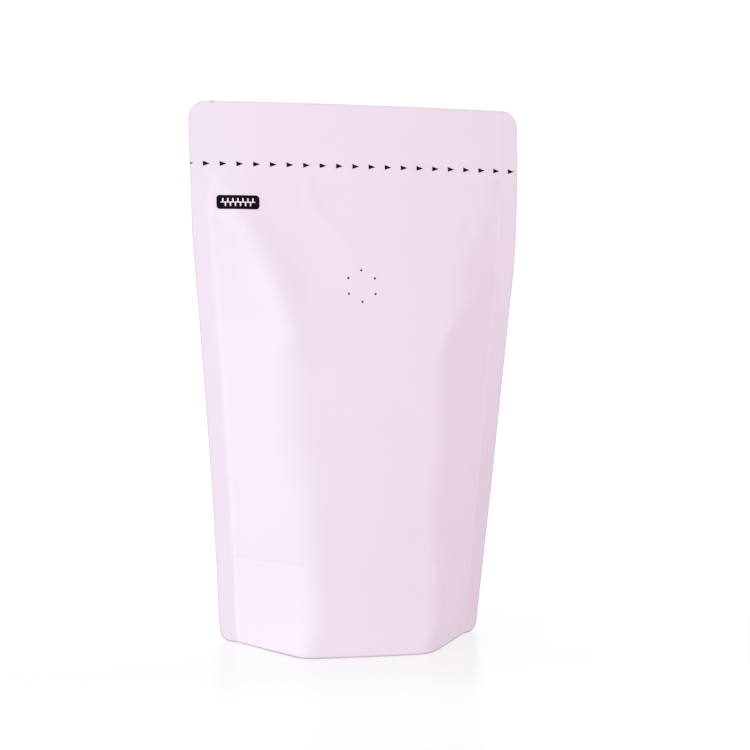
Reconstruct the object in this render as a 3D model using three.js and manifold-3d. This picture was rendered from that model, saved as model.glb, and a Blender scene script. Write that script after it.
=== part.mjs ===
// A stand-up coffee pouch: a filled bag of matte laminate film, closed at the top by a wide flat header,
// with a press-to-close strip under the tear line, heat-sealed side fins, a folded bottom gusset that has
// opened into an oval base, and six pinholes over a degassing valve.
//
// Millimetres. +Z is up, the printed front faces -Y, X runs along the width. The origin is on the surface
// that the pouch stands on, under the middle of the base.
//
// A film can't stretch, so each level section keeps the flat bag's width: it is drawn by how far the film
// has turned at each distance from the centre line, and the bag gets narrower where it gets deeper.

import * as THREE from 'three';
import { mergeVertices } from 'three/addons/utils/BufferGeometryUtils.js';
import Module from 'manifold-3d';

const wasm = await Module();
wasm.setup();

const { degToRad, lerp, smoothstep } = THREE.MathUtils;

// The flat bag
const FLAT_WIDTH = 130;
const HEIGHT = 209.5;
const SIDE_SEAL = 7;
const TOP_CORNER_RADIUS = 6.5;
const BOTTOM_CORNER_RADIUS = 4;
const FILM = 0.2;

// The press-to-close strip, which shows as a low band across the bag
const STRIP_BOTTOM = 176.5;
const STRIP_TOP = 183;
const STRIP_RAISE = 0.4;
const STRIP_EDGE = 1.5;
const STRIP_END_FADE = 2;

// The gusset, which the filling pushes down onto the surface in the middle
const GUSSET_FOLD = 34;
const BOTTOM_SEAL = 8;
const SEAL_CURVE_POWER = 3;
const FOLD_CURVE_POWER = 2;
const BELLY_POWER = 3;
const BELLY_SAG = 1.2;
const SKIRT_DEPTH = 0.5;
const RECESS_END = 56;

// The valve's pinholes
const VALVE_ACROSS = -0.5;
const VALVE_HEIGHT = 140;
const HOLE_RING_RADIUS = 6;
const HOLE_RADIUS = 0.45;
const HOLE_DEPTH = 1.2;
const HOLE_COUNT = 6;
const HOLE_SIDES = 10;

// How the filled bag differs from the flat one, as [height, value] stations: the distance from the middle
// to each side seal, and how far the side fins bend back from the bag's width, in degrees
const LEFT_SEAM = [
  [0, 46.6], [8, 47.2], [20, 47.7], [60, 49.75], [130, 54.9], [165, 57.5], [STRIP_BOTTOM, 57.8], [190, 58.35],
  [200, 58.75], [HEIGHT, 58.8],
];
const RIGHT_SEAM = [
  [0, 44.9], [20, 46.5], [38, 48.1], [60, 49.9], [90, 52.3], [130, 55.5], [155, 57.35], [165, 57.55],
  [STRIP_BOTTOM, 57.6], [190, 57.3], [200, 56.95], [HEIGHT, 56.9],
];
const FIN_ANGLE = [[0, 32], [40, 26], [90, 20], [140, 15], [165, 17], [STRIP_TOP, 9], [HEIGHT, 8]];

// The creases beside the front panel, which the filling has pressed out unevenly, and beside the back one:
// along the film from the centre line to the crease, and the length of film that its turn takes
const LEFT_CREASE = {
  places: [[0, 23.2], [20, 20], [60, 24.5], [90, 29], [122, 28.6], [138, 33], [153, 41], [STRIP_BOTTOM, 52]],
  turns: [[0, 10], [40, 13], [78, 24], [103, 24], [122, 8], [160, 6], [STRIP_BOTTOM, 10]],
};
const RIGHT_CREASE = {
  places: [
    [0, 25.3], [12, 28.5], [50, 28], [80, 30.5], [112, 31], [121, 33], [130, 41], [146, 45.5],
    [STRIP_BOTTOM, 52],
  ],
  turns: [[0, 6], [20, 6], [60, 12], [100, 12], [118, 5], [135, 14], [STRIP_BOTTOM, 10]],
};
const BACK_CREASE = {
  places: [[0, 24.5], [110, 25.5], [130, 29], [150, 38], [165, 46], [STRIP_BOTTOM, 52]],
  turns: [[0, 9], [60, 14], [100, 20], [140, 26], [165, 20], [STRIP_BOTTOM, 10]],
};

// The slope, in degrees, that the gentle rounding of the panels between the creases would reach at the fins
const FRONT_ROUNDING = [[0, 8], [HEIGHT, 8]];
const BACK_ROUNDING = [[0, 6], [120, 6], [STRIP_BOTTOM, -8], [HEIGHT, -8]];

// How finely the skin is divided
const FRONT_COLUMNS = 4;
const TURN_COLUMNS = 6;
const SIDE_COLUMNS = 4;
const FIN_COLUMNS = 2;
const CORNER_ROWS = 6;
const GUSSET_ROWS = 6;
const BODY_ROWS = 18;
const HEADER_ROWS = 3;
const RECESS_COLUMNS = 28;
const FOLD_STEP = 0.3;
const MERGE_DISTANCE = 1e-4;

// How closely a section is worked out
const SECTION_STEPS = 116;
const BISECTIONS = 24;
const MOST_FACET_ANGLE = Math.PI / 2;
const LEAST_DEPTH = -3;
const MOST_DEPTH = 40;

const HALF_WIDTH = FLAT_WIDTH / 2;
const SEAL_START = HALF_WIDTH - SIDE_SEAL;
const SECTION_STEP = SEAL_START / SECTION_STEPS;
const FIN_TIP_Y = SIDE_SEAL * Math.sin(degToRad(FIN_ANGLE[0][1]));
const FRONT = -1;
const BACK = 1;
const LEFT = -1;
const RIGHT = 1;

// A monotone cubic curve through the stations
function valueAt(stations, z) {
  const last = stations.length - 1;
  if (z <= stations[0][0]) return stations[0][1];
  if (z >= stations[last][0]) return stations[last][1];
  const slopeAfter = (i) => (stations[i + 1][1] - stations[i][1]) / (stations[i + 1][0] - stations[i][0]);
  const slopeAt = (i) => {
    if (i === 0 || i === last) return slopeAfter(Math.min(i, last - 1));
    const before = slopeAfter(i - 1);
    const after = slopeAfter(i);
    return before * after <= 0 ? 0 : (2 * before * after) / (before + after);
  };
  let i = 0;
  while (z > stations[i + 1][0]) i++;
  const span = stations[i + 1][0] - stations[i][0];
  const t = (z - stations[i][0]) / span;
  return (
    stations[i][1] * (1 + 2 * t) * (1 - t) ** 2 +
    stations[i + 1][1] * t * t * (3 - 2 * t) +
    span * t * (1 - t) * (slopeAt(i) * (1 - t) - slopeAt(i + 1) * t)
  );
}

function seamDistance(z, side) {
  return valueAt(side === LEFT ? LEFT_SEAM : RIGHT_SEAM, z);
}

// Where the turn of a crease begins and ends, along the film from the centre line
function creaseTurn(z, side, outward) {
  const frontCrease = side === LEFT ? LEFT_CREASE : RIGHT_CREASE;
  const { places, turns } = outward === FRONT ? frontCrease : BACK_CREASE;
  const middle = valueAt(places, z);
  const half = valueAt(turns, z) / 2;
  return [middle - half, middle + half];
}

// Half a level section, from the centre line to the side seal, in even steps along the film: how far each
// lies to the side of the centre line, and how deep it lies behind the middle of the panel
function halfSection(z, side, outward, facetAngle) {
  const [turnStart, turnEnd] = creaseTurn(z, side, outward);
  const endSlope = degToRad(valueAt(outward === FRONT ? FRONT_ROUNDING : BACK_ROUNDING, z));
  const aside = new Float64Array(SECTION_STEPS + 1);
  const depth = new Float64Array(SECTION_STEPS + 1);
  for (let i = 0; i < SECTION_STEPS; i++) {
    const middle = (i + 0.5) * SECTION_STEP;
    const angle = facetAngle * smoothstep(middle, turnStart, turnEnd) + (endSlope * middle) / HALF_WIDTH;
    aside[i + 1] = aside[i] + SECTION_STEP * Math.cos(angle);
    depth[i + 1] = depth[i] + SECTION_STEP * Math.sin(angle);
  }
  return { aside, depth };
}

// The value between low and high up to which tooLow holds
function bisect(low, high, tooLow) {
  for (let i = 0; i < BISECTIONS; i++) {
    const middle = (low + high) / 2;
    if (tooLow(middle)) low = middle;
    else high = middle;
  }
  return low;
}

// The half section whose side facet turns just far enough for the seal to lie this deep behind the panel
function halfSectionOfDepth(z, side, outward, depth) {
  const tooFlat = (angle) => halfSection(z, side, outward, angle).depth[SECTION_STEPS] < depth;
  return halfSection(z, side, outward, bisect(-MOST_FACET_ANGLE, MOST_FACET_ANGLE, tooFlat));
}

// The section that is deep enough to bring the two side seals as near to each other as the outline has them
function solvedSection(z, outward) {
  const width = seamDistance(z, LEFT) + seamDistance(z, RIGHT);
  const halves = (depth) => [LEFT, RIGHT].map((side) => halfSectionOfDepth(z, side, outward, depth));
  const widthOf = ([left, right]) => left.aside[SECTION_STEPS] + right.aside[SECTION_STEPS];
  const depth = bisect(LEAST_DEPTH, MOST_DEPTH, (tried) => widthOf(halves(tried)) > width);
  const [left, right] = halves(depth);
  const centreX = left.aside[SECTION_STEPS] - seamDistance(z, LEFT);
  return { left, right, depth, centreX };
}

const sections = new Map();
function sectionAt(z, outward) {
  const key = `${outward} ${z.toFixed(4)}`;
  if (!sections.has(key)) sections.set(key, solvedSection(z, outward));
  return sections.get(key);
}

// Where the film of the front or the back lies, at a signed distance s across the flat bag
function filmPoint(s, z, outward) {
  const fin = degToRad(valueAt(FIN_ANGLE, z));
  const sealY = FIN_TIP_Y - SIDE_SEAL * Math.sin(fin);
  const distance = Math.abs(s);
  const side = s < 0 ? LEFT : RIGHT;
  if (distance >= SEAL_START) {
    const intoFin = distance - SEAL_START;
    const aside = seamDistance(z, side) + intoFin * Math.cos(fin);
    return new THREE.Vector3(side * aside, sealY + intoFin * Math.sin(fin), z);
  }
  const section = sectionAt(z, outward);
  const half = side === LEFT ? section.left : section.right;
  const index = Math.floor(distance / SECTION_STEP);
  const t = distance / SECTION_STEP - index;
  const aside = lerp(half.aside[index], half.aside[index + 1], t);
  const depth = lerp(half.depth[index], half.depth[index + 1], t);
  return new THREE.Vector3(section.centreX + side * aside, sealY + outward * (section.depth - depth), z);
}

// How far the skin stands out from the film's place: a film's thickness, the gusset's two more layers in the
// fins below its fold, and the band over the press-to-close strip
function skinOffset(s, z) {
  const bandBottom = smoothstep(z, STRIP_BOTTOM, STRIP_BOTTOM + STRIP_EDGE);
  const bandTop = 1 - smoothstep(z, STRIP_TOP - STRIP_EDGE, STRIP_TOP);
  const bandEnd = 1 - smoothstep(Math.abs(s), SEAL_START - STRIP_END_FADE, SEAL_START);
  const gussetLayers = z < GUSSET_FOLD && Math.abs(s) >= SEAL_START ? FILM : 0;
  return FILM + STRIP_RAISE * bandBottom * bandTop * bandEnd + gussetLayers;
}

function skinPoint(s, z, outward) {
  const p = filmPoint(s, z, outward);
  p.y += outward * skinOffset(s, z);
  return p;
}

// The cut edge's distance from the centre line, with rounded corners
function edgeDistance(z) {
  const cornerInset = (radius, intoCorner) =>
    intoCorner > 0 ? radius - Math.sqrt(Math.max(0, radius ** 2 - intoCorner ** 2)) : 0;
  return (
    HALF_WIDTH -
    cornerInset(TOP_CORNER_RADIUS, z - (HEIGHT - TOP_CORNER_RADIUS)) -
    cornerInset(BOTTOM_CORNER_RADIUS, BOTTOM_CORNER_RADIUS - z)
  );
}

// count values that lead evenly from start, which is left out, up to end
function evenly(start, end, count) {
  return Array.from({ length: count }, (_, i) => lerp(start, end, (i + 1) / count));
}

// Columns of a row from the centre line to the cut edge: across the panel, the crease's turn, the side
// facet and the fin
function sideColumns(z, side, outward) {
  const [turnStart, turnEnd] = creaseTurn(z, side, outward);
  return [
    ...evenly(0, turnStart, FRONT_COLUMNS),
    ...evenly(turnStart, turnEnd, TURN_COLUMNS),
    ...evenly(turnEnd, SEAL_START, SIDE_COLUMNS),
    ...evenly(SEAL_START, edgeDistance(z), FIN_COLUMNS),
  ].map((distance) => side * distance);
}

function rowColumns(z, outward) {
  return [...sideColumns(z, LEFT, outward).reverse(), 0, ...sideColumns(z, RIGHT, outward)];
}

function rowHeights() {
  const arcShares = evenly(0, Math.PI / 2, CORNER_ROWS).map(Math.sin);
  const bottomCorner = arcShares.map((share) => BOTTOM_CORNER_RADIUS * (1 - share)).reverse();
  const topCorner = arcShares.map((share) => HEIGHT - TOP_CORNER_RADIUS * (1 - share));
  return [
    ...bottomCorner,
    BOTTOM_CORNER_RADIUS,
    ...evenly(BOTTOM_CORNER_RADIUS, GUSSET_FOLD - FOLD_STEP, GUSSET_ROWS),
    GUSSET_FOLD + FOLD_STEP,
    ...evenly(GUSSET_FOLD + FOLD_STEP, STRIP_BOTTOM, BODY_ROWS),
    STRIP_BOTTOM + STRIP_EDGE / 2,
    STRIP_BOTTOM + STRIP_EDGE,
    STRIP_TOP - STRIP_EDGE,
    STRIP_TOP - STRIP_EDGE / 2,
    STRIP_TOP,
    ...evenly(STRIP_TOP, HEIGHT - TOP_CORNER_RADIUS, HEADER_ROWS),
    ...topCorner,
  ];
}

// A closed solid from rings of points that all have the same count. Each ring runs along the front and comes
// back along the rear, so both ends are closed by a strip of triangles from each front point to its rear one.
function solidFromRings(rings) {
  const count = rings[0].length;
  const positions = rings.flat().flatMap((p) => [p.x, p.y, p.z]);
  const indices = [];
  for (let r = 0; r + 1 < rings.length; r++) {
    for (let i = 0; i < count; i++) {
      const a = r * count + i;
      const b = r * count + ((i + 1) % count);
      indices.push(a, b, b + count, a, b + count, a + count);
    }
  }
  const lastRing = (rings.length - 1) * count;
  for (let i = 0; i + 1 < count / 2; i++) {
    const rear = count - 1 - i;
    indices.push(i + 1, i, rear, i + 1, rear, rear - 1);
    indices.push(lastRing + i, lastRing + i + 1, lastRing + rear);
    indices.push(lastRing + i + 1, lastRing + rear - 1, lastRing + rear);
  }
  return toManifold(positions, indices);
}

function toManifold(positions, indices) {
  const geometry = new THREE.BufferGeometry();
  geometry.setAttribute('position', new THREE.Float32BufferAttribute(positions, 3));
  geometry.setIndex(indices);
  const merged = mergeVertices(geometry, MERGE_DISTANCE);
  return new wasm.Manifold(
    new wasm.Mesh({
      numProp: 3,
      vertProperties: merged.attributes.position.array,
      triVerts: Uint32Array.from(merged.index.array),
    }),
  );
}

// The bag's outside: front and back skins joined along the cut edge, closed across the top and the bottom
function bagOutside() {
  return solidFromRings(
    rowHeights().map((z) => {
      const front = rowColumns(z, FRONT).map((s) => skinPoint(s, z, FRONT));
      const back = rowColumns(z, BACK).map((s) => skinPoint(s, z, BACK));
      return [...front, ...back.reverse()];
    }),
  );
}

// Height of the curved seal that joins the gusset to the front and back panels
function sealCurve(s) {
  return BOTTOM_SEAL + (GUSSET_FOLD - BOTTOM_SEAL) * (Math.abs(s) / SEAL_START) ** SEAL_CURVE_POWER;
}

// Height of the gusset's underside. t runs from -1 at the front seal to 1 at the back one. In the middle,
// where this is below the surface, the pouch stands on it and its underside is flat.
function gussetHeight(s, t) {
  const fold = GUSSET_FOLD * (Math.abs(s) / SEAL_START) ** FOLD_CURVE_POWER;
  return fold + (sealCurve(s) - fold) * Math.abs(t) ** BELLY_POWER - BELLY_SAG;
}

// The space under the gusset, between the two skirts of film that the pouch stands on
function spaceUnderGusset() {
  const below = -BELLY_SAG - 1;
  const wallShares = [0, 0.35, 0.7, 1];
  const halfGusset = [0.14, 0.32, 0.5, 0.64, 0.78, 0.9];
  const gussetShares = [...halfGusset.toReversed().map((t) => -t), ...halfGusset];
  const acrossTheBag = [RECESS_END, ...evenly(RECESS_END, -RECESS_END, 2 * RECESS_COLUMNS)];
  const wallPoint = (s, z, outward) => {
    const p = filmPoint(s, Math.max(z, 0), outward);
    p.y -= outward * SKIRT_DEPTH;
    p.z = z;
    return p;
  };
  return solidFromRings(
    acrossTheBag.map((s) => {
      const top = sealCurve(s) - BELLY_SAG;
      const wall = (outward) => wallShares.map((share) => wallPoint(s, top * share, outward));
      const gusset = gussetShares.map((t) => {
        const p = wallPoint(s, top, FRONT).lerp(wallPoint(s, top, BACK), (t + 1) / 2);
        p.z = gussetHeight(s, t);
        return p;
      });
      const frontWall = [wallPoint(s, below, FRONT), ...wall(FRONT)];
      const backWall = [...wall(BACK).reverse(), wallPoint(s, below, BACK)];
      return [...frontWall, ...gusset, ...backWall];
    }),
  );
}

// One pinhole, square to the film where it is
function pinhole(angle) {
  const s = VALVE_ACROSS + HOLE_RING_RADIUS * Math.sin(angle);
  const z = VALVE_HEIGHT + HOLE_RING_RADIUS * Math.cos(angle);
  const middle = skinPoint(s, z, FRONT);
  const upwards = skinPoint(s, z + 1, FRONT).sub(skinPoint(s, z - 1, FRONT));
  const across = skinPoint(s + 1, z, FRONT).sub(skinPoint(s - 1, z, FRONT));
  const inwards = upwards.cross(across).normalize();
  const drill = new THREE.CylinderGeometry(HOLE_RADIUS, HOLE_RADIUS, 2 * HOLE_DEPTH, HOLE_SIDES);
  drill.deleteAttribute('normal');
  drill.deleteAttribute('uv');
  drill.applyQuaternion(new THREE.Quaternion().setFromUnitVectors(new THREE.Vector3(0, 1, 0), inwards));
  drill.translate(middle.x, middle.y, middle.z);
  return toManifold(Array.from(drill.attributes.position.array), Array.from(drill.index.array));
}

function pouchGeometry() {
  let solid = bagOutside().subtract(spaceUnderGusset());
  for (let i = 0; i < HOLE_COUNT; i++) solid = solid.subtract(pinhole((i * 2 * Math.PI) / HOLE_COUNT));
  const mesh = solid.getMesh();
  const geometry = new THREE.BufferGeometry();
  geometry.setAttribute('position', new THREE.BufferAttribute(mesh.vertProperties, 3));
  geometry.setIndex(new THREE.BufferAttribute(mesh.triVerts, 1));
  geometry.computeVertexNormals();
  return geometry;
}

const matteLilacFilm = new THREE.MeshStandardMaterial({ color: 0xeedcee, roughness: 0.6, metalness: 0 });

const pouch = new THREE.Group();
const bag = new THREE.Mesh(pouchGeometry(), matteLilacFilm);
bag.name = 'pouch';
pouch.add(bag);

export default pouch;
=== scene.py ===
# A filled stand-up coffee pouch of matte lilac film on a white studio floor, seen from the front and a little
# from its left. The webs of film are modelled flat, as they are cut, and then formed to the filled bag.

import math

import bpy
import numpy as np
from mathutils import Euler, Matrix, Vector, noise


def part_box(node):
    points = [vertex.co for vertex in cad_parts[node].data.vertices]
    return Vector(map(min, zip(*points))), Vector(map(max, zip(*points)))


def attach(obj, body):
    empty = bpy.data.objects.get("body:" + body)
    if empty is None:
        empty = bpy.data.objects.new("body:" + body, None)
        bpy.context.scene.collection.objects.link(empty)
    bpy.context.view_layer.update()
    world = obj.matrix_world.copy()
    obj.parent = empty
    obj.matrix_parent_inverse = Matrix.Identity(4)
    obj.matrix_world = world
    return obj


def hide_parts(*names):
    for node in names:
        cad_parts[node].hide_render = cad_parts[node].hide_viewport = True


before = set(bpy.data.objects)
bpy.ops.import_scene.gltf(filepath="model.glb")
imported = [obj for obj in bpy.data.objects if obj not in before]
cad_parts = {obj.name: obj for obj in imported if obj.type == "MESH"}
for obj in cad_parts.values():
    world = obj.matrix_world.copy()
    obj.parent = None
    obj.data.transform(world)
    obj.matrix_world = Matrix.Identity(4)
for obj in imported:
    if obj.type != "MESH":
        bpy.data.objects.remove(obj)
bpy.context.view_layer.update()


# The camera stands half a metre off, to the left of the pouch's middle and a little above its waist, and
# looks slightly down. Its roll is that of a camera held by hand. Lengths are in metres, angles in radians.
CAMERA_PLACE = (-0.08932, -0.51273, 0.14733)
CAMERA_PITCH = 0.08098
CAMERA_YAW = 0.18589
CAMERA_ROLL = 0.01356
CAMERA_LENS = 63.845

bpy.ops.object.select_all(action="DESELECT")
bpy.ops.object.camera_add(location=CAMERA_PLACE)
camera = bpy.context.object
camera.name = "camera"
camera.data.lens = CAMERA_LENS
aim = Euler((math.pi / 2 - CAMERA_PITCH, 0, -CAMERA_YAW)).to_matrix()
camera.rotation_euler = (aim @ Euler((0, 0, CAMERA_ROLL)).to_matrix()).to_euler()
bpy.context.scene.camera = camera


# The front web: matte laminate film, printed and die cut with rounded corners. It is heat sealed to the back
# web along both sides, and the filling presses it out to a flat panel between two uneven creases. Its relief
# is what lies behind it and how it was sealed. Lengths are in millimetres until a mesh is placed.
MM = 0.001
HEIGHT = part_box("pouch")[1].z / MM
FLAT_WIDTH = 130
SIDE_SEAL = 7
HALF_WIDTH = FLAT_WIDTH / 2
SEAL_START = HALF_WIDTH - SIDE_SEAL
TOP_CORNER = 6.5
BOTTOM_CORNER = 4
FILM = 0.2
WEB_THICKNESS = 0.19
GUSSET_FOLD = 34
BOTTOM_SEAL = 8
SEAL_CURVE_POWER = 3
STRIP_BOTTOM = 176.5
STRIP_TOP = 183
STRIP_TOP_EDGE = 1.5
STRIP_BOTTOM_EDGE = 4
STRIP_RAISE = 0.3
LEFT, RIGHT = -1, 1
FRONT, BACK = -1, 1


def curve_through(*stations):
    """A smooth curve through (height, value) stations that doesn't swing past any of them."""
    heights, values = np.array(stations, float).T
    slopes = np.diff(values) / np.diff(heights)
    before, after = slopes[:-1], slopes[1:]
    same_way = before * after > 0
    between = np.where(same_way, 2 * before * after / np.where(same_way, before + after, 1), 0)
    tangents = np.concatenate([slopes[:1], between, slopes[-1:]])

    def value_at(z):
        z = np.clip(z, heights[0], heights[-1])
        i = np.clip(np.searchsorted(heights, z, side="right") - 1, 0, len(slopes) - 1)
        span = heights[i + 1] - heights[i]
        t = (z - heights[i]) / span
        ends = values[i] * (1 + 2 * t) * (1 - t) ** 2 + values[i + 1] * t * t * (3 - 2 * t)
        return ends + span * t * (1 - t) * (tangents[i] * (1 - t) - tangents[i + 1] * t)

    return value_at


def ramp(value, start, end):
    """0 before start, 1 after end, and an even turn between them."""
    t = np.clip((value - start) / (end - start), 0, 1)
    return t * t * (3 - 2 * t)


# By height above the bottom edge: the distance from the middle to each side seal, and how far the side fins
# bend back, in degrees
SEAM = {
    LEFT: curve_through(
        (0, 46.6), (8, 47.2), (20, 47.7), (60, 49.75), (130, 54.9), (165, 57.5), (STRIP_BOTTOM, 57.8),
        (190, 58.35), (200, 58.75), (HEIGHT, 58.8),
    ),
    RIGHT: curve_through(
        (0, 44.9), (20, 46.5), (38, 48.1), (60, 49.9), (90, 52.3), (130, 55.5), (155, 57.35), (165, 57.55),
        (STRIP_BOTTOM, 57.6), (190, 57.3), (200, 56.95), (HEIGHT, 56.9),
    ),
}
fin_angle = curve_through((0, 32), (40, 26), (90, 18), (140, 12), (165, 12), (STRIP_TOP, 9), (HEIGHT, 8))

# Along the film from the centre line to each crease, and the length of film that its turn takes
CREASE = {
    (FRONT, LEFT): curve_through(
        (0, 23.2), (20, 20), (60, 24.5), (90, 29), (122, 28.6), (138, 33), (153, 41), (STRIP_BOTTOM, 52)
    ),
    (FRONT, RIGHT): curve_through(
        (0, 25.3), (12, 28.5), (50, 28), (80, 30.5), (112, 31), (121, 33), (130, 38), (146, 41),
        (STRIP_BOTTOM, 52),
    ),
    BACK: curve_through((0, 24.5), (110, 25.5), (130, 29), (150, 38), (165, 46), (STRIP_BOTTOM, 52)),
}
CREASE_TURN = {
    (FRONT, LEFT): curve_through(
        (0, 10), (40, 13), (78, 24), (103, 24), (122, 8), (160, 6), (STRIP_BOTTOM, 10),
    ),
    (FRONT, RIGHT): curve_through(
        (0, 11), (20, 10), (60, 13), (100, 12), (118, 5), (135, 20), (STRIP_BOTTOM, 12),
    ),
    BACK: curve_through((0, 9), (60, 14), (100, 20), (140, 26), (165, 20), (STRIP_BOTTOM, 10)),
}

# The slope that the gentle rounding of the panels would reach at the fins, in degrees
ROUNDING = {
    FRONT: curve_through((0, 8), (HEIGHT, 8)),
    BACK: curve_through((0, 6), (120, 6), (STRIP_BOTTOM, -8), (HEIGHT, -8)),
}

STEP = 0.5
STEP_MIDDLES = np.arange(STEP / 2, SEAL_START, STEP)
LEVEL_COUNT = 420
LEVELS = np.linspace(0, HEIGHT, LEVEL_COUNT)
BISECTIONS = 22
LEAST_DEPTH = -3
MOST_DEPTH = 40


def bisected(low, high, too_low):
    """At each level, the value between low and high up to which too_low holds."""
    low = np.full(len(LEVELS), float(low))
    high = np.full(len(LEVELS), float(high))
    for _ in range(BISECTIONS):
        middle = (low + high) / 2
        below = too_low(middle)
        low = np.where(below, middle, low)
        high = np.where(below, high, middle)
    return low


def solved_sections(outward):
    """The level sections of the bag's front or back. Film can't stretch, so each keeps the flat bag's width,
    and is as deep as brings its side seals as near to each other as they are."""
    gentle = np.radians(ROUNDING[outward](LEVELS))[:, None] * STEP_MIDDLES / HALF_WIDTH
    turned = {}
    for side in (LEFT, RIGHT):
        name = (FRONT, side) if outward == FRONT else BACK
        middle = CREASE[name](LEVELS)[:, None]
        half_turn = CREASE_TURN[name](LEVELS)[:, None] / 2
        turned[side] = ramp(STEP_MIDDLES, middle - half_turn, middle + half_turn)

    def directions(side, depth):
        """Which way the film runs, step by step, where the side facet reaches this depth."""
        def along(facet_angle):
            return facet_angle[:, None] * turned[side] + gentle

        def too_flat(facet_angle):
            return STEP * np.sin(along(facet_angle)).sum(1) < depth

        return along(bisected(-math.pi / 2, math.pi / 2, too_flat))

    def too_wide(depth):
        return sum(STEP * np.cos(directions(side, depth)).sum(1) for side in (LEFT, RIGHT)) > width

    width = SEAM[LEFT](LEVELS) + SEAM[RIGHT](LEVELS)
    depth = bisected(LEAST_DEPTH, MOST_DEPTH, too_wide)
    middle = np.zeros((len(LEVELS), 1))
    aside = {}
    behind = {}
    for side in (LEFT, RIGHT):
        angle = directions(side, depth)
        aside[side] = np.hstack([middle, np.cumsum(STEP * np.cos(angle), 1)])
        behind[side] = np.hstack([middle, np.cumsum(STEP * np.sin(angle), 1)])
    return aside, behind, depth, aside[LEFT][:, -1] - SEAM[LEFT](LEVELS)


SECTIONS = {outward: solved_sections(outward) for outward in (FRONT, BACK)}
FIN_TIP_Y = SIDE_SEAL * math.sin(math.radians(fin_angle(0)))


def film_place(s, z, outward):
    """Where the film's middle lies, s across the flat bag from its centre line and z above its foot."""
    aside, behind, depth, centre_x = SECTIONS[outward]
    level = np.clip(z / HEIGHT, 0, 1) * (len(LEVELS) - 1)
    row = np.minimum(level.astype(int), len(LEVELS) - 2)
    up = level - row
    reach = np.minimum(np.abs(s), SEAL_START) / STEP
    step = np.minimum(reach.astype(int), len(STEP_MIDDLES) - 1)
    on = reach - step

    def by_level(values):
        return values[row] * (1 - up) + values[row + 1] * up

    def by_step(table):
        lower = table[row, step] * (1 - on) + table[row, step + 1] * on
        upper = table[row + 1, step] * (1 - on) + table[row + 1, step + 1] * on
        return lower * (1 - up) + upper * up

    side = np.where(s < 0, LEFT, RIGHT)
    out = np.where(s < 0, by_step(aside[LEFT]), by_step(aside[RIGHT]))
    sunk = np.where(s < 0, by_step(behind[LEFT]), by_step(behind[RIGHT]))
    fin = np.radians(fin_angle(z))
    into_fin = np.maximum(np.abs(s) - SEAL_START, 0)
    x = by_level(centre_x) + side * (out + into_fin * np.cos(fin))
    y = FIN_TIP_Y + (into_fin - SIDE_SEAL) * np.sin(fin) + outward * (by_level(depth) - sunk)
    return np.stack([x, y, z], -1)


# The film's relief: how far its ridges, waves and grooves stand out, how wide they are and where they lie
STRIP_END_LENGTH = 4
STRIP_HOLD = 6
SEAM_RIDGE = 0.2
SEAM_RIDGE_INSET = 0.5
SEAM_RIDGE_WIDTH = 0.8
SEAM_RIDGE_IN_HEADER = 0.3
SEAM_BULGE = 0.1
SEAM_BULGE_RISE = 2.5
SEAM_BULGE_REACH = 12
PUCKER = 0.3
PUCKER_LENGTH = 7
PUCKER_WIDTH = 3
FOLD_GROOVE = 0.2
FOLD_GROOVE_WIDTH = 0.8
FOLD_GROOVE_START = 22
FOLD_GROOVE_FULL = 30
LAYER_STEP = 1.4
LAYER_START = SEAL_START - 0.8
LAYER_FULL = SEAL_START + 0.4
UNEVENNESS = 0.35
UNEVENNESS_SIZE = 26
UNEVEN_HALF_WIDTH = 44
FLATTER_FROM = 150
FRONT_SEED = 3
# Each soft ridge's path over the front, how far it stands out, and its width at its upper and its lower end
SOFT_RIDGES = [
    ([(-21, 178), (-18, 169), (-8, 157), (-4, 149)], 0.36, 2.6, 7.6),
    ([(-46, 168), (-40, 158), (-34, 146), (-30, 134), (-27, 120)], 1.3, 6.5, 9),
    ([(50, 139), (38, 128.5), (32, 119)], 0.55, 4, 5),
    ([(-55, 120), (-44, 119), (-34, 117)], 0.3, 4, 5),
]
DENTS = [(43.5, 163.5), (53, 164.5)]
DENT_DEPTH = 0.3
DENT_WIDTH = 2.4


def hump(distance, width):
    """A rounded ridge's cross-section."""
    return np.exp(-((distance / width) ** 2))


def seal_curve(s):
    """Height of the curved seal that joins the gusset to the front and the back."""
    share = np.minimum(np.abs(s) / SEAL_START, 1)
    return BOTTOM_SEAL + (GUSSET_FOLD - BOTTOM_SEAL) * share**SEAL_CURVE_POWER


def gusset_layers(s, z):
    """How far the gusset's folded film lifts the outer webs in the fins."""
    in_fin = ramp(np.abs(s), LAYER_START, LAYER_FULL)
    return FILM * in_fin * (1 - ramp(z, GUSSET_FOLD - LAYER_STEP / 2, GUSSET_FOLD + LAYER_STEP / 2))


def distance_to_path(s, z, path):
    """How far each place on the flat web is from a path over it."""
    nearest = np.full(np.shape(s), np.inf)
    for (s0, z0), (s1, z1) in zip(path, path[1:]):
        along = ((s - s0) * (s1 - s0) + (z - z0) * (z1 - z0)) / ((s1 - s0) ** 2 + (z1 - z0) ** 2)
        along = np.clip(along, 0, 1)
        nearest = np.minimum(nearest, np.hypot(s - s0 - along * (s1 - s0), z - z0 - along * (z1 - z0)))
    return nearest


def freed_below_strip(z):
    """1 on the lower bag, where the film is free to wave, down to 0 where the strip keeps it flat."""
    return 1 - ramp(z, FLATTER_FROM, STRIP_BOTTOM)


def uneven(s, z, seed):
    """Slow random waves, from -1 to 1, that die out towards the seals and the strip."""
    waves = [noise.noise(Vector((a, b, seed))) for a, b in zip(s / UNEVENNESS_SIZE, z / UNEVENNESS_SIZE)]
    from_ends = ramp(z, BOTTOM_SEAL, GUSSET_FOLD) * freed_below_strip(z)
    return np.array(waves) * from_ends * (1 - ramp(np.abs(s), UNEVEN_HALF_WIDTH, SEAL_START))


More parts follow.
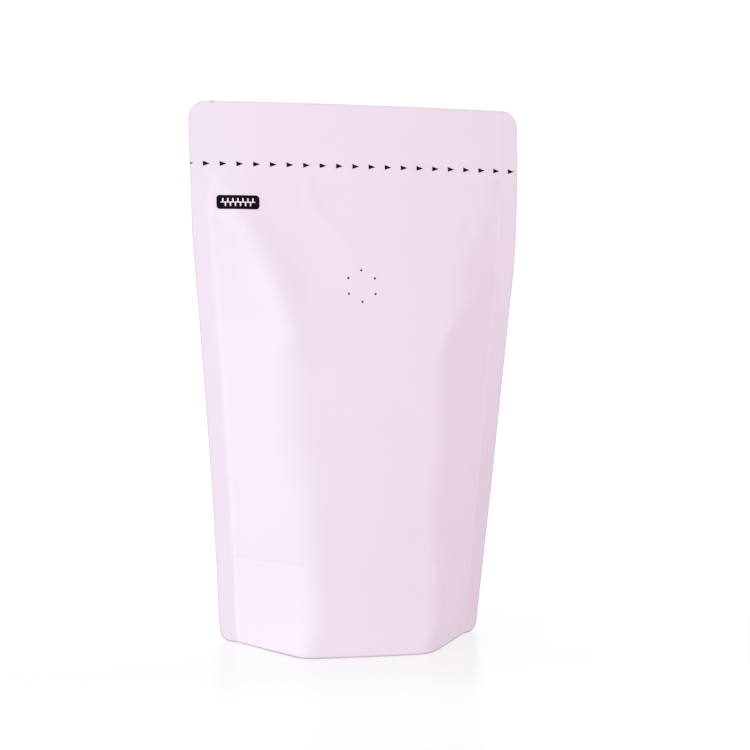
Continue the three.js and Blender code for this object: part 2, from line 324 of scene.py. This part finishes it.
def web_relief(s, z):
    """How far the skin stands out from the film's middle, on the front and the back alike."""
    edge = np.abs(s)
    strip = ramp(z, STRIP_BOTTOM, STRIP_BOTTOM + STRIP_BOTTOM_EDGE)
    strip = strip - ramp(z, STRIP_TOP - STRIP_TOP_EDGE, STRIP_TOP)
    strip = strip * (1 - ramp(edge, SEAL_START - STRIP_END_LENGTH, SEAL_START))
    below_strip = 1 - ramp(z, STRIP_BOTTOM - STRIP_HOLD, STRIP_BOTTOM)
    from_seam = SEAL_START - edge
    ridge = hump(from_seam - SEAM_RIDGE_INSET, SEAM_RIDGE_WIDTH)
    ridge = ridge * (SEAM_RIDGE_IN_HEADER + (1 - SEAM_RIDGE_IN_HEADER) * below_strip)
    bulge = ramp(from_seam, 0, SEAM_BULGE_RISE) * (1 - ramp(from_seam, SEAM_BULGE_RISE, SEAM_BULGE_REACH))
    seam = SEAM_RIDGE * ridge + SEAM_BULGE * bulge * below_strip
    groove = hump(z - GUSSET_FOLD, FOLD_GROOVE_WIDTH) * ramp(edge, FOLD_GROOVE_START, FOLD_GROOVE_FULL)
    fold = FOLD_GROOVE * groove * (1 - ramp(edge, SEAL_START - 1, SEAL_START))
    return FILM + STRIP_RAISE * strip + seam - fold + gusset_layers(s, z)


def puckers(s, z, seed):
    """Short waves in the film where it leaves the side seals."""
    beside_seal = hump(SEAL_START - PUCKER_WIDTH - np.abs(s), PUCKER_WIDTH)
    waves = [noise.noise(Vector((math.copysign(seed, a), b, seed))) for a, b in zip(s, z / PUCKER_LENGTH)]
    return np.array(waves) * beside_seal * freed_below_strip(z)


def front_skin(x, z):
    """The front's outside, x across the flat web and z up it."""
    relief = web_relief(x, z) + UNEVENNESS * uneven(x, z, FRONT_SEED) + PUCKER * puckers(x, z, FRONT_SEED)
    for path, rise, upper_width, lower_width in SOFT_RIDGES:
        widening = ramp(-z, -path[1][1], -path[-1][1])
        width = upper_width + (lower_width - upper_width) * widening
        relief += rise * hump(distance_to_path(x, z, path), width)
    for dent_x, dent_z in DENTS:
        relief -= DENT_DEPTH * hump(np.hypot(x - dent_x, z - dent_z), DENT_WIDTH)
    place = film_place(x, z, FRONT)
    place[:, 1] -= relief
    return place


def vertices_of(piece):
    """A piece's vertices in millimetres."""
    flat = np.empty(3 * len(piece.data.vertices))
    piece.data.vertices.foreach_get("co", flat)
    return flat.reshape(-1, 3) / MM


def move_vertices(piece, places):
    """Moves a piece's vertices to places in millimetres."""
    piece.data.vertices.foreach_set("co", (places * MM).ravel())
    piece.data.update()


COLUMN = 1.0
FIN_COLUMNS = 12


def corner_rise(x, radius):
    """How far a rounded corner leaves the web's end at x."""
    into_corner = np.maximum(np.abs(x) - HALF_WIDTH + radius, 0)
    return radius - np.sqrt(np.maximum(radius**2 - into_corner**2, 0))


def cut_web(name, rows, top_corner):
    """A web as it is cut, still flat: it stands on its bottom edge and its outside faces -Y."""
    body = np.linspace(-SEAL_START, SEAL_START, round(2 * SEAL_START / COLUMN) + 1)
    round_the_corner = np.sin(np.linspace(0, math.pi / 2, FIN_COLUMNS + 1))
    fin = HALF_WIDTH - TOP_CORNER * (1 - round_the_corner)
    columns = np.concatenate([-fin[::-1], body, fin])
    bpy.ops.object.select_all(action="DESELECT")
    bpy.ops.mesh.primitive_grid_add(x_subdivisions=len(columns) - 1, y_subdivisions=len(rows) - 1, size=2)
    web = bpy.context.object
    web.name = web.data.name = name
    grid = vertices_of(web) * MM
    x = columns[np.round((grid[:, 0] + 1) / 2 * (len(columns) - 1)).astype(int)]
    share = rows[np.round((grid[:, 1] + 1) / 2 * (len(rows) - 1)).astype(int)] / rows[-1]
    bottom = corner_rise(x, BOTTOM_CORNER)
    top = rows[-1] - corner_rise(x, top_corner)
    move_vertices(web, np.stack([x, np.zeros(len(x)), bottom + share * (top - bottom)], -1))
    return web


def apply_modifier(piece, kind, **settings):
    """Gives a piece a modifier and applies it."""
    modifier = piece.modifiers.new(kind.lower(), kind)
    for setting, value in settings.items():
        setattr(modifier, setting, value)
    bpy.context.view_layer.objects.active = piece
    bpy.ops.object.modifier_apply(modifier=modifier.name)


def keep_flat_places(piece):
    """The flat place of each corner, in metres, as the UV map that the film's finish follows."""
    mesh = piece.data
    layer = mesh.uv_layers.get("flat") or mesh.uv_layers.new(name="flat")
    corners = np.empty(len(mesh.loops), int)
    mesh.loops.foreach_get("vertex_index", corners)
    flat = vertices_of(piece)[corners][:, (0, 2)] * MM
    layer.data.foreach_set("uv", flat.ravel())


SLOPE_STEP = 0.25


def form(piece, skin):
    """Bends a piece that lies flat to a skin. Its y is then its depth below that skin."""
    x, depth, z = vertices_of(piece).T
    place = skin(x, z)
    across = skin(x + SLOPE_STEP, z) - skin(x - SLOPE_STEP, z)
    upwards = skin(x, z + SLOPE_STEP) - skin(x, z - SLOPE_STEP)
    outwards = np.cross(across, upwards)
    outwards /= np.linalg.norm(outwards, axis=1)[:, None]
    move_vertices(piece, place - outwards * depth[:, None])


# How light the film is in places against its plain tone, and where each of them begins and is in full
# Painted shade in the side seals, fading out upwards; the gusset's walls take it too
SEAL_SHADE_TONE = 0.965
SEAL_SHADE_EDGE = 0.3
SEAL_SHADE_FADE = (60, 140)
# Painted light on the left of the panel below the gusset's fold
BELOW_FOLD_LIGHT_TONE = 1.015
BELOW_FOLD_LIGHT_EDGE = (18, 30)
BOTTOM_BAND_TONE = 1.03
BOTTOM_BAND_START = 4
BOTTOM_BAND_EDGE = (20, 32)
# A painted highlight along the inner edge of each side seal
SEAM_HIGHLIGHT_TONE = 1.04
SEAM_HIGHLIGHT_WIDTH = 0.7
CUT_EDGE_TONE = 0.87
CUT_EDGE = (0.1, 0.6)
# The foot's dark cut edge with a painted contact shadow, deepest a little left of the middle
FOOT_EDGE_AND_SHADOW_TONE = 0.3
FOOT_EDGE = 0.35
DEEPEST_FOOT_SHADOW = -32
DEEPEST_FOOT_SHADOW_WIDTH = 14
DEEPEST_FOOT_SHADOW_SHARE = 0.3
SCUFF = (-56, HEIGHT)
SCUFF_SIZE = 0.6
SCUFF_TONE = 0.5


def film_tone(x, z):
    """How light a cut web is: painted shade in the lower side seals, a painted highlight along their inner
    edges, lighter near the foot, painted light on the left below the gusset's fold, and dark in its cut edge,
    above all below, where a painted contact shadow darkens it further."""
    across = np.abs(x)
    seal_shade = ramp(across, SEAL_START - SEAL_SHADE_EDGE, SEAL_START + SEAL_SHADE_EDGE) * (1 - ramp(z, *SEAL_SHADE_FADE))
    below_fold_light = (1 - ramp(z, GUSSET_FOLD - 1, GUSSET_FOLD)) * ramp(-x, *BELOW_FOLD_LIGHT_EDGE) * (1 - seal_shade)
    band = (1 - ramp(z, BOTTOM_BAND_START, GUSSET_FOLD)) * (1 - ramp(x, *BOTTOM_BAND_EDGE)) * (1 - seal_shade)
    line = hump(across - SEAL_START + SEAM_HIGHLIGHT_WIDTH, SEAM_HIGHLIGHT_WIDTH)
    line = line * (1 - ramp(z, STRIP_BOTTOM - STRIP_HOLD, STRIP_TOP))
    below_top = HEIGHT - corner_rise(x, TOP_CORNER) - z
    cut_edge = 1 - ramp(np.minimum(below_top, HALF_WIDTH - across), *CUT_EDGE)
    foot = 1 - ramp(z - corner_rise(x, BOTTOM_CORNER), FOOT_EDGE / 2, 1.5 * FOOT_EDGE)
    foot = foot * (1 - DEEPEST_FOOT_SHADOW_SHARE * (1 - hump(x - DEEPEST_FOOT_SHADOW, DEEPEST_FOOT_SHADOW_WIDTH)))
    tone = 1 + (SEAL_SHADE_TONE - 1) * seal_shade + (BELOW_FOLD_LIGHT_TONE - 1) * below_fold_light + (BOTTOM_BAND_TONE - 1) * band
    tone = tone + (SEAM_HIGHLIGHT_TONE - 1) * line
    return tone * (1 + (CUT_EDGE_TONE - 1) * cut_edge) * (1 + (FOOT_EDGE_AND_SHADOW_TONE - 1) * foot)


def mark_tone(piece, tone):
    """Gives each vertex its tone, which the film's finish reads."""
    attribute = piece.data.attributes.new("tone", "FLOAT", "POINT")
    attribute.data.foreach_set("value", tone.astype(np.float32))


def smooth_faces(piece, sharp_angle=50):
    """Shades a piece smoothly but for edges that turn by more than an angle, in degrees."""
    bpy.ops.object.select_all(action="DESELECT")
    piece.select_set(True)
    bpy.context.view_layer.objects.active = piece
    bpy.ops.object.shade_smooth_by_angle(angle=math.radians(sharp_angle))


# The sockets of a Mix node that mixes colours go by their places
MIX_FACTOR, MIX_FROM, MIX_TO, MIX_RESULT = 0, 6, 7, 2


class Signal:
    """A socket of a material's nodes, which can be reckoned with like a number."""

    def __init__(self, tree, socket=None):
        self.tree = tree
        self.socket = socket

    def node(self, kind, settings, inputs, output=0):
        made = self.tree.nodes.new(kind)
        for setting, value in settings.items():
            setattr(made, setting, value)
        for name, value in inputs.items():
            if isinstance(value, Signal):
                self.tree.links.new(value.socket, made.inputs[name])
            else:
                made.inputs[name].default_value = value
        return Signal(self.tree, made.outputs[output])

    def math(self, operation, a, b):
        return self.node("ShaderNodeMath", {"operation": operation}, {0: a, 1: b})

    def __add__(self, other):
        return self.math("ADD", self, other)

    def __sub__(self, other):
        return self.math("SUBTRACT", self, other)

    def __rsub__(self, other):
        return self.math("SUBTRACT", other, self)

    def __mul__(self, other):
        return self.math("MULTIPLY", self, other)

    __radd__ = __add__
    __rmul__ = __mul__

    def between(self, colour, other):
        """The first colour where this signal is 0 and the other where it is 1."""
        inputs = {MIX_FACTOR: self, MIX_FROM: colour, MIX_TO: other}
        return self.node("ShaderNodeMix", {"data_type": "RGBA"}, inputs, MIX_RESULT)

    def drive(self, shader, socket):
        self.tree.links.new(self.socket, shader.inputs[socket])


def new_finish(name, **constants):
    """A material, its shader with the constants set, and a signal to start its nodes from."""
    material = bpy.data.materials.new(name)
    material.use_nodes = True
    shader = material.node_tree.nodes["Principled BSDF"]
    for socket, value in constants.items():
        shader.inputs[socket.replace("_", " ")].default_value = value
    return material, shader, Signal(material.node_tree)


FILM_COLOUR = (0.87, 0.72, 0.85, 1)
CLOUD_SIZE = 18
CLOUD_TONE = 0.03
CLOUD_ROUGHNESS = 0.1
CRINKLE_SIZE = 3.2
CRINKLE_RISE = 0.05
GRAIN_SIZE = 0.45
GRAIN_TONE = 0.04
GRAIN_ROUGHNESS = 0.12
GRAIN_RISE = 0.012
FILM_ROUGHNESS = 0.56
FILM_SPECULAR = 0.35
FILM_BUMP = 0.6


def film_finish():
    """Matte lilac laminate: a soft-touch surface with a fine grain and faint crinkles, in the tone that each
    place on the web has, painted light and shade included."""
    material, shader, signal = new_finish("matte lilac film", Specular_IOR_Level=FILM_SPECULAR)
    flat = signal.node("ShaderNodeUVMap", {"uv_map": "flat"}, {})
    tone = signal.node("ShaderNodeAttribute", {"attribute_name": "tone"}, {}, "Fac")

    def speckle(size, detail):
        inputs = {"Vector": flat, "Scale": 1 / (size * MM), "Detail": detail}
        return signal.node("ShaderNodeTexNoise", {"noise_dimensions": "2D"}, inputs)

    clouds = speckle(CLOUD_SIZE, detail=2)
    crinkle = speckle(CRINKLE_SIZE, detail=3)
    grain = speckle(GRAIN_SIZE, detail=1)
    value = tone + (clouds - 0.5) * CLOUD_TONE + (grain - 0.5) * GRAIN_TONE
    colour = signal.node("ShaderNodeHueSaturation", {}, {"Value": value, "Color": FILM_COLOUR})
    colour.drive(shader, "Base Color")
    roughness = FILM_ROUGHNESS + (clouds - 0.5) * CLOUD_ROUGHNESS + (grain - 0.5) * GRAIN_ROUGHNESS
    roughness.drive(shader, "Roughness")
    height = crinkle * CRINKLE_RISE + grain * GRAIN_RISE
    normal = signal.node("ShaderNodeBump", {}, {"Height": height, "Distance": MM, "Strength": FILM_BUMP})
    normal.drive(shader, "Normal")
    return material


VALVE_ACROSS = -0.5
VALVE_HEIGHT = 140
HOLE_RING_RADIUS = 6
HOLE_RADIUS = 0.45
HOLE_COUNT = 6
HOLE_SIDES = 14
DRILL_LENGTH = 2


def punch_pinholes(web):
    """A hexagon of pinholes over the valve, with one hole at its top."""
    bpy.ops.object.select_all(action="DESELECT")
    drills = []
    for i in range(HOLE_COUNT):
        angle = 2 * math.pi * i / HOLE_COUNT
        across = VALVE_ACROSS + HOLE_RING_RADIUS * math.sin(angle)
        up = VALVE_HEIGHT + HOLE_RING_RADIUS * math.cos(angle)
        bpy.ops.mesh.primitive_cylinder_add(
            vertices=HOLE_SIDES,
            radius=HOLE_RADIUS * MM,
            depth=DRILL_LENGTH * MM,
            location=(across * MM, 0, up * MM),
            rotation=(math.pi / 2, 0, 0),
        )
        drills.append(bpy.context.object)
    for drill in drills:
        drill.select_set(True)
    bpy.ops.object.join()
    punch = bpy.context.object
    apply_modifier(web, "BOOLEAN", operation="DIFFERENCE", solver="MANIFOLD", object=punch)
    bpy.data.objects.remove(punch)
    web.data.materials.clear()


# Rows of vertices a column's width apart, and closer ones at the cut edges, the gusset's fold and the strip
CLOSE_ROW = 0.5
FOLD_REACH = 2
FOLD_ROWS = 9
STRIP_ROWS = 16

web_rows = np.unique(
    np.concatenate([
        np.linspace(0, HEIGHT, round(HEIGHT / COLUMN) + 1),
        [FOOT_EDGE, 2 * FOOT_EDGE, HEIGHT - CLOSE_ROW],
        np.linspace(GUSSET_FOLD - FOLD_REACH, GUSSET_FOLD + FOLD_REACH, FOLD_ROWS),
        np.linspace(STRIP_BOTTOM - CLOSE_ROW, STRIP_TOP + CLOSE_ROW, STRIP_ROWS),
    ])
)
film = film_finish()

front = cut_web("film_front", web_rows, TOP_CORNER)
apply_modifier(front, "SOLIDIFY", thickness=WEB_THICKNESS * MM, offset=-1)
punch_pinholes(front)
keep_flat_places(front)
x, _, z = vertices_of(front).T
scuff = hump(np.hypot(x - SCUFF[0], z - SCUFF[1]), SCUFF_SIZE)
mark_tone(front, film_tone(x, z) * (1 + (SCUFF_TONE - 1) * scuff))
form(front, front_skin)
smooth_faces(front)
front.data.materials.append(film)
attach(front, "root")
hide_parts("pouch")


# The back web is of the same film, without print, cut to the same outline. The filling has pressed its
# creases out more evenly than the front's, and above the press-to-close strip it lies against the front web.
BACK_SEED = 11
PRESSED_FROM = 193


def back_skin(x, z):
    """The back's outside, seen from behind: x across the flat web and z up it."""
    pressed = ramp(z, STRIP_TOP, PRESSED_FROM)[:, None]
    place = film_place(-x, z, BACK) * (1 - pressed) + film_place(-x, z, FRONT) * pressed
    place[:, 1] += web_relief(x, z) + UNEVENNESS * uneven(x, z, BACK_SEED) + PUCKER * puckers(x, z, BACK_SEED)
    return place


back = cut_web("film_back", web_rows, TOP_CORNER)
apply_modifier(back, "SOLIDIFY", thickness=WEB_THICKNESS * MM, offset=-1)
keep_flat_places(back)
x, _, z = vertices_of(back).T
mark_tone(back, film_tone(x, z))
form(back, back_skin)
smooth_faces(back)
back.data.materials.append(film)
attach(back, "root")


# The gusset web: a third piece of the film, folded up between the two others. It is sealed to them along a
# curve, folded double in the fins, and the filling has pushed its middle down onto the surface.
BELLY_POWER = 3
BELLY_SAG = 1.2
FOLD_CURVE_POWER = 2
BELLY_CLEARANCE = 0.22
CENTRE_CREASE = 0.25
LOWEST_CREASED = 1
CLOSING_WIDTH = 6
LAYER_GAP = 0.01
GUSSET_LENGTH = 96
GUSSET_ROWS = 129
# The share of the web that each wall takes, and places along the web from its centre fold, 0, to its edge, 1
WALL_SHARE = 0.3
BELLY_EDGE = 1 - 2 * WALL_SHARE
BELLY_EDGE_WIDTH = 0.02
LEAST_OPEN_SHARE = 0.004
CENTRE_CREASE_WIDTH = 0.04


def gusset_skin(x, up_web):
    """The gusset's outside, which faces down: x across the web and up_web from its front edge to its rear."""
    s = -x
    position = 2 * up_web / GUSSET_LENGTH - 1
    outward = np.where(position < 0, FRONT, BACK)
    closing = ramp(np.abs(s), SEAL_START - CLOSING_WIDTH, SEAL_START)
    open_share = BELLY_EDGE * (1 - closing) + LEAST_OPEN_SHARE
    t = np.clip(position / open_share, -1, 1)
    down_wall = np.clip((1 - np.abs(position)) / (1 - open_share), 0, 1)
    corner = corner_rise(x, BOTTOM_CORNER)
    wall_top = seal_curve(s) - BELLY_SAG
    height = corner + down_wall * (wall_top - corner)

    def wall(outward_side, z):
        place = film_place(s, z, outward_side)
        place[:, 1] += outward_side * (gusset_layers(s, z) - FILM + LAYER_GAP)
        return place

    fold = GUSSET_FOLD * np.minimum(np.abs(s) / SEAL_START, 1) ** FOLD_CURVE_POWER
    belly = fold + (seal_curve(s) - fold) * np.abs(t) ** BELLY_POWER - BELLY_SAG
    belly = np.maximum(belly, BELLY_CLEARANCE)
    belly = belly + CENTRE_CREASE * hump(t, CENTRE_CREASE_WIDTH) * (belly > LOWEST_CREASED)
    height = np.where(np.abs(t) < 1, belly, height)
    across = np.where(np.abs(t) < 1, (t + 1) / 2, outward > 0)[:, None]
    return wall(FRONT, height) * (1 - across) + wall(BACK, height) * across


gusset = cut_web("film_gusset", np.linspace(0, GUSSET_LENGTH, GUSSET_ROWS), BOTTOM_CORNER)
x, _, z = vertices_of(gusset).T
z = (z - corner_rise(x, BOTTOM_CORNER)) / (GUSSET_LENGTH - 2 * corner_rise(x, BOTTOM_CORNER)) * GUSSET_LENGTH
move_vertices(gusset, np.stack([x, np.zeros(len(x)), z], -1))
apply_modifier(gusset, "SOLIDIFY", thickness=WEB_THICKNESS * MM, offset=-1)
keep_flat_places(gusset)
_, _, z = vertices_of(gusset).T
from_fold = np.abs(2 * z / GUSSET_LENGTH - 1)
in_wall = ramp(from_fold, BELLY_EDGE - BELLY_EDGE_WIDTH, BELLY_EDGE + BELLY_EDGE_WIDTH)
# The gusset's walls take the side seals' painted shade
mark_tone(gusset, 1 + (SEAL_SHADE_TONE - 1) * in_wall)
form(gusset, gusset_skin)
smooth_faces(gusset)
gusset.data.materials.append(film)
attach(gusset, "root")


# The degassing valve, which lets the coffee's gas out through the pinholes: a moulded disc of dark plastic
# that is welded to the inside of the front web behind them.
VALVE_RADIUS = 10
VALVE_DEPTH = 0.8
VALVE_GAP = 0.3
VALVE_EDGE = 0.2
VALVE_SIDES = 48
VALVE_COLOUR = (0.02, 0.02, 0.022, 1)
VALVE_ROUGHNESS = 0.45
VALVE_GRAIN_ROUGHNESS = 0.2
VALVE_GRAINS_PER_METRE = 2500

bpy.ops.object.select_all(action="DESELECT")
bpy.ops.mesh.primitive_cylinder_add(
    vertices=VALVE_SIDES,
    radius=VALVE_RADIUS * MM,
    depth=VALVE_DEPTH * MM,
    end_fill_type="TRIFAN",
    location=(VALVE_ACROSS * MM, (VALVE_GAP + WEB_THICKNESS + VALVE_DEPTH / 2) * MM, VALVE_HEIGHT * MM),
    rotation=(math.pi / 2, 0, 0),
)
valve = bpy.context.object
valve.name = valve.data.name = "valve_disc"
bpy.ops.object.transform_apply(location=True, rotation=True, scale=True)
apply_modifier(valve, "BEVEL", width=VALVE_EDGE * MM, segments=2, limit_method="ANGLE")
form(valve, front_skin)
smooth_faces(valve)


def valve_finish():
    """Moulded dark grey plastic with a faint grain."""
    material, shader, signal = new_finish("dark valve plastic", Base_Color=VALVE_COLOUR)
    place = signal.node("ShaderNodeTexCoord", {}, {}, "Object")
    inputs = {"Vector": place, "Scale": VALVE_GRAINS_PER_METRE, "Detail": 1}
    grain = signal.node("ShaderNodeTexNoise", {}, inputs)
    (VALVE_ROUGHNESS + grain * VALVE_GRAIN_ROUGHNESS).drive(shader, "Roughness")
    return material


valve.data.materials.append(valve_finish())
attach(valve, "root")


# The tear line's row of small black arrowheads, printed across the whole width of the bag. The bag was cut
# from a longer web, so its left edge runs through one of them and leaves only the tip.
ARROW_HEIGHT = 185.9
ARROW_PITCH = 6.37
ARROW_COUNT = 21
FIRST_ARROW = -59.25
ARROW_LENGTH = 2.6
ARROW_WIDTH = 1.85
CUT_CLEARANCE = 0.02
PRINT_RAISE = 0.07
PRINT_DEPTH = 0.1
DEEP_BLACK = (0.003, 0.001, 0.003, 1)
WORN_BLACK = (0.007, 0.003, 0.007, 1)
INK_SPECULAR = 0.06
INK_ROUGHNESS = 0.5
INK_GRAIN_ROUGHNESS = 0.15
INK_GRAINS_PER_METRE = 3000


def ink_finish():
    """Matte black ink with the film's fine grain."""
    material, shader, signal = new_finish("matte black ink", Specular_IOR_Level=INK_SPECULAR)
    place = signal.node("ShaderNodeTexCoord", {}, {}, "Object")
    inputs = {"Vector": place, "Scale": INK_GRAINS_PER_METRE, "Detail": 1}
    grain = signal.node("ShaderNodeTexNoise", {}, inputs)
    grain.between(DEEP_BLACK, WORN_BLACK).drive(shader, "Base Color")
    (INK_ROUGHNESS + grain * INK_GRAIN_ROUGHNESS).drive(shader, "Roughness")
    return material


def bisect_all(piece, place, normal, **cut):
    """Cuts through a whole piece along a plane."""
    bpy.ops.object.select_all(action="DESELECT")
    piece.select_set(True)
    bpy.context.view_layer.objects.active = piece
    bpy.ops.object.mode_set(mode="EDIT")
    bpy.ops.mesh.select_all(action="SELECT")
    bpy.ops.mesh.bisect(plane_co=place, plane_no=normal, **cut)
    bpy.ops.object.mode_set(mode="OBJECT")


# A cylinder of three sides and radius 1 is this long from base to tip, and this wide at its base
TRIANGLE_LENGTH = 1.5
TRIANGLE_WIDTH = math.sqrt(3)

bpy.ops.object.select_all(action="DESELECT")
bpy.ops.mesh.primitive_cylinder_add(
    vertices=3,
    radius=MM,
    depth=(PRINT_RAISE + PRINT_DEPTH) * MM,
    location=((FIRST_ARROW - ARROW_PITCH) * MM, (PRINT_DEPTH - PRINT_RAISE) / 2 * MM, ARROW_HEIGHT * MM),
    rotation=(math.pi / 2, math.pi / 2, 0),
    scale=(ARROW_WIDTH / TRIANGLE_WIDTH, ARROW_LENGTH / TRIANGLE_LENGTH, 1),
)
tear_arrows = bpy.context.object
tear_arrows.name = tear_arrows.data.name = "tear_arrows"
bpy.ops.object.transform_apply(location=True, rotation=True, scale=True)
apply_modifier(
    tear_arrows,
    "ARRAY",
    count=ARROW_COUNT,
    use_relative_offset=False,
    use_constant_offset=True,
    constant_offset_displace=(ARROW_PITCH * MM, 0, 0),
)
bisect_all(tear_arrows, ((CUT_CLEARANCE - HALF_WIDTH) * MM, 0, 0), (1, 0, 0), clear_inner=True, use_fill=True)
form(tear_arrows, front_skin)
ink = ink_finish()
tear_arrows.data.materials.append(ink)
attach(tear_arrows, "root")


# A black tab with rounded corners, printed at the upper left where the press-to-close strip begins. It holds
# a small row of interlocking teeth, left unprinted so that the film shows.
TAB_MIDDLE = (-47.2, 171.3)
TAB_SIZE = (16.4, 5.3)
TAB_CORNER = 1.3
CORNER_SEGMENTS = 6
CUT_SPACING = 0.5


def printed_block(middle, size, near, far):
    """A rectangle of print on the flat web, from near to far behind its outside."""
    bpy.ops.object.select_all(action="DESELECT")
    bpy.ops.mesh.primitive_cube_add(
        size=MM,
        location=(middle[0] * MM, (near + far) / 2 * MM, middle[1] * MM),
        scale=(size[0], far - near, size[1]),
    )
    bpy.ops.object.transform_apply(location=True, rotation=True, scale=True)
    return bpy.context.object


def round_the_corners(piece, radius):
    """Rounds the edges of a printed block that run into the film."""
    bpy.ops.object.mode_set(mode="EDIT")
    bpy.ops.mesh.select_mode(type="EDGE")
    bpy.ops.mesh.select_all(action="DESELECT")
    bpy.ops.object.mode_set(mode="OBJECT")
    corners = piece.data.vertices
    for edge in piece.data.edges:
        a, b = (corners[i].co for i in edge.vertices)
        edge.select = abs(a.y - b.y) > max(abs(a.x - b.x), abs(a.z - b.z))
    bpy.ops.object.mode_set(mode="EDIT")
    bpy.ops.mesh.bevel(offset=radius * MM, segments=CORNER_SEGMENTS)
    bpy.ops.mesh.select_mode(type="VERT")
    bpy.ops.object.mode_set(mode="OBJECT")


def cut_across(piece):
    """Cuts a printed piece into narrow cells, so that it can bend with the film."""
    corners = vertices_of(piece)
    for axis, normal in ((0, (1, 0, 0)), (2, (0, 0, 1))):
        for place in np.arange(corners[:, axis].min() + CUT_SPACING, corners[:, axis].max(), CUT_SPACING):
            point = [0, 0, 0]
            point[axis] = place * MM
            bisect_all(piece, point, normal)


tab = printed_block(TAB_MIDDLE, TAB_SIZE, -PRINT_RAISE, PRINT_DEPTH)
tab.name = tab.data.name = "zip_tab"
round_the_corners(tab, TAB_CORNER)
cut_across(tab)
form(tab, front_skin)
smooth_faces(tab)
tab.data.materials.append(ink)
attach(tab, "root")

TOOTH_WIDTH = 0.55
TOOTH_REACH = 1.5
TOOTH_PITCH = 1.9
TEETH_ABOVE = 7
RAIL_LENGTH = 13.2
RAIL_WIDTH = 0.4
TEETH_RAISE = 0.03

tab_x, tab_z = TAB_MIDDLE
teeth = printed_block(TAB_MIDDLE, (RAIL_LENGTH, RAIL_WIDTH), -PRINT_RAISE - TEETH_RAISE, 0)
teeth.name = teeth.data.name = "zip_tab_teeth"
for upward, count in ((1, TEETH_ABOVE), (-1, TEETH_ABOVE - 1)):
    first = (tab_x - TOOTH_PITCH * (count - 1) / 2, tab_z + upward * TOOTH_REACH / 2)
    row = printed_block(first, (TOOTH_WIDTH, TOOTH_REACH), -PRINT_RAISE - TEETH_RAISE, 0)
    apply_modifier(
        row,
        "ARRAY",
        count=count,
        use_relative_offset=False,
        use_constant_offset=True,
        constant_offset_displace=(TOOTH_PITCH * MM, 0, 0),
    )
    apply_modifier(teeth, "BOOLEAN", operation="UNION", solver="MANIFOLD", object=row)
    bpy.data.objects.remove(row)
teeth.data.materials.clear()
cut_across(teeth)
keep_flat_places(teeth)
mark_tone(teeth, np.ones(len(teeth.data.vertices)))
form(teeth, front_skin)
teeth.data.materials.append(film)
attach(teeth, "root")


# The studio: a softly reflecting white floor that fades into a white sweep behind, a dimmer room behind the
# camera, a large cool light at the left and a weak warm one at the right. Lengths are in metres.
FLOOR_SIZE = 12
FLOOR_COLOUR = (0.25, 0.25, 0.25, 1)
FLOOR_ROUGHNESS = 0.22
FLOOR_GLOW = 0.587
BACK_GLOW = (1, 1, 1, 1)
FRONT_GLOW = (1.125, 1.125, 1.125, 1)
FADE_START = -0.035
FADE_END = -0.09
KEY_PLACE = (-1.1, -0.5, 0.45)
KEY_SIZE = (0.7, 1.0)
KEY_POWER = 5.9
KEY_COLOUR = (0.77, 1.0, 0.93)
FILL_PLACE = (1.0, -0.6, 0.4)
FILL_SIZE = (0.6, 0.8)
FILL_POWER = 0.5
FILL_COLOUR = (1.0, 0.5, 0.4)
SWEEP = (1.02, 1.02, 1.02, 1)
SWEEP_START = 0.3
SWEEP_END = 0.75
ROOM = (0.848, 0.837, 0.836, 1)

bpy.context.scene.view_settings.view_transform = "Standard"

bpy.ops.object.select_all(action="DESELECT")
bpy.ops.mesh.primitive_plane_add(size=FLOOR_SIZE)
floor = bpy.context.object
floor.name = floor.data.name = "floor"


def floor_finish():
    """White acrylic, lit from within so that it has no horizon, a little more so in front, where the pouch's
    soft reflection fades out."""
    constants = {"Base_Color": FLOOR_COLOUR, "Roughness": FLOOR_ROUGHNESS, "Emission_Strength": FLOOR_GLOW}
    material, shader, signal = new_finish("white floor", **constants)
    place = signal.node("ShaderNodeTexCoord", {}, {}, "Object")
    depth = signal.node("ShaderNodeSeparateXYZ", {}, {"Vector": place}, "Y")
    fade = {"Value": depth, "From Min": FADE_START, "From Max": FADE_END}
    in_front = signal.node("ShaderNodeMapRange", {"interpolation_type": "SMOOTHSTEP"}, fade)
    in_front.between(BACK_GLOW, FRONT_GLOW).drive(shader, "Emission Color")
    return material


floor.data.materials.append(floor_finish())


def add_light(name, place, size, power, colour):
    """A soft box that the camera doesn't see, turned to the pouch's middle."""
    bpy.ops.object.light_add(type="AREA", location=place)
    light = bpy.context.object
    light.name = name
    light.data.shape = "RECTANGLE"
    light.data.size, light.data.size_y = size
    light.data.energy = power
    light.data.color = colour
    light.visible_camera = False
    towards = Vector((0, 0, HEIGHT * MM / 2)) - light.location
    light.rotation_euler = towards.to_track_quat("-Z", "Y").to_euler()


add_light("key_light", KEY_PLACE, KEY_SIZE, KEY_POWER, KEY_COLOUR)
add_light("fill_light", FILL_PLACE, FILL_SIZE, FILL_POWER, FILL_COLOUR)

world = bpy.data.worlds.new("studio")
world.use_nodes = True
bpy.context.scene.world = world
background = world.node_tree.nodes["Background"]
signal = Signal(world.node_tree)
looking = signal.node("ShaderNodeTexCoord", {}, {}, "Generated")
backwards = signal.node("ShaderNodeSeparateXYZ", {}, {"Vector": looking}, "Y")
fade = {"Value": backwards, "From Min": SWEEP_START, "From Max": SWEEP_END}
towards_sweep = signal.node("ShaderNodeMapRange", {"interpolation_type": "SMOOTHSTEP"}, fade)
towards_sweep.between(ROOM, SWEEP).drive(background, "Color")
